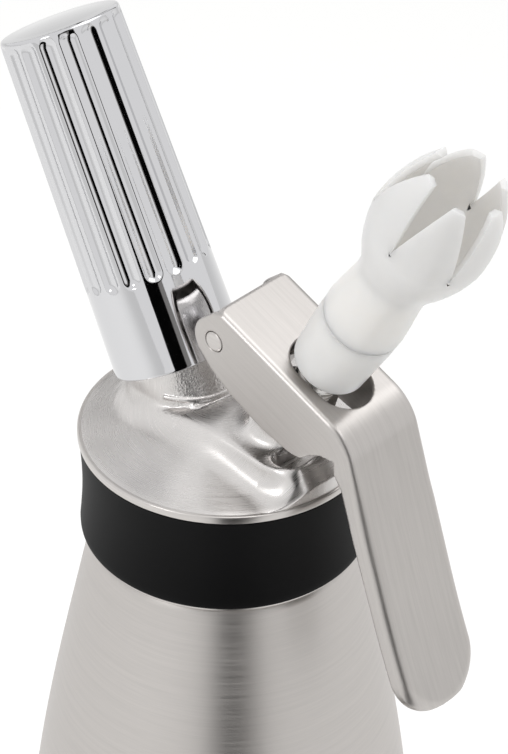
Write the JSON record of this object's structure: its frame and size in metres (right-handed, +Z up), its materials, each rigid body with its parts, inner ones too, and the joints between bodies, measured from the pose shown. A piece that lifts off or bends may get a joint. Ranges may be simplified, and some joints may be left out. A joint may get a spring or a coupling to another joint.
{
  "type": "whipped cream dispenser",
  "caption": "Steel whipping bottle with a screw-on head, squeeze lever, spring valve with a tulip tip, and a screw-on gas charger holder.",
  "frame": {"origin": "centre of the bottle's flat base", "axes": "+Z up along the bottle, +X towards the nozzle and the lever"},
  "size_m": [0.134, 0.097, 0.3303],
  "materials": {
    "bottle": "brushed round the body",
    "gasket": "moulded",
    "head": "satin over a cast surface",
    "grip_band": "matte silicone",
    "pin_steel": "ground",
    "guide_plastic": "turned",
    "spring_steel": "drawn wire",
    "brass": "turned",
    "valve_rubber": "moulded",
    "lever": "brushed lengthwise",
    "valve_steel": "turned",
    "tip": "moulded, slightly translucent",
    "charger": "zinc-plated drawn steel",
    "holder": "polished chrome"
  },
  "bodies": {
    "bottle": {"bottle": "bottle"},
    "gasket": {"head_gasket": "gasket"},
    "head": {"head": "head", "grip_band": "grip_band", "lever_pin": "pin_steel", "valve_guide": "guide_plastic", "guide_o_ring": "gasket", "valve_spring": "spring_steel", "pin_holder": "brass", "piercing_pin": "pin_steel", "charger_seal": "gasket", "port_o_ring": "gasket", "check_valve": "valve_rubber"},
    "lever": {"lever": "lever", "press_studs": "lever"},
    "valve": {"valve_stem": "valve_steel", "valve_seal": "gasket", "seal_nut": "valve_steel"},
    "tip_seal": {"tip_seal": "gasket"},
    "tip": {"tip_socket": "tip", "tulip_tip": "tip"},
    "charger": {"charger": "charger", "charger_cap": "charger"},
    "holder": {"charger_holder": "holder"}
  },
  "joints": [
    {"name": "head_lift", "type": "slide", "parent": "bottle", "child": "gasket", "axis": [0, 0, 1], "range_m": [0, 0.008]},
    {"name": "head_turn", "type": "hinge", "parent": "gasket", "child": "head", "pos_m": [0, 0, 0.232], "axis": [0, 0, 1], "range_deg": [0, 720]},
    {"name": "lever_squeeze", "type": "hinge", "parent": "head", "child": "lever", "pos_m": [0.0061, 0, 0.2651], "axis": [0, 1, 0], "range_deg": [0, 10], "stiffness_Nm_per_rad": 1.35, "springref_deg": -8.59},
    {"name": "valve_push", "type": "slide", "parent": "head", "child": "valve", "axis": [-0.4894, 0, -0.8721], "range_m": [0, 0.004], "deforming": ["valve_spring"]},
    {"name": "tip_lift", "type": "slide", "parent": "valve", "child": "tip_seal", "axis": [0.4894, 0, 0.8721], "range_m": [0, 0.006]},
    {"name": "tip_turn", "type": "hinge", "parent": "tip_seal", "child": "tip", "pos_m": [0.0298, 0, 0.2665], "axis": [0.4894, 0, 0.8721], "range_deg": [0, 1440]},
    {"name": "holder_lift", "type": "slide", "parent": "head", "child": "charger", "axis": [-0.4641, 0, 0.8858], "range_m": [0, 0.01]},
    {"name": "holder_turn", "type": "hinge", "parent": "charger", "child": "holder", "pos_m": [-0.01506, 0, 0.24584], "axis": [-0.4641, 0, 0.8858], "range_deg": [0, 1440]}
  ],
  "couplings": [
    {"joint": "head_turn", "follows": "head_lift", "rad_per_m": 1570.8},
    {"joint": "valve_push", "follows": "lever_squeeze", "m_per_rad": 0.02},
    {"joint": "tip_turn", "follows": "tip_lift", "rad_per_m": 4188.8},
    {"joint": "holder_turn", "follows": "holder_lift", "rad_per_m": 2513.3}
  ]
}
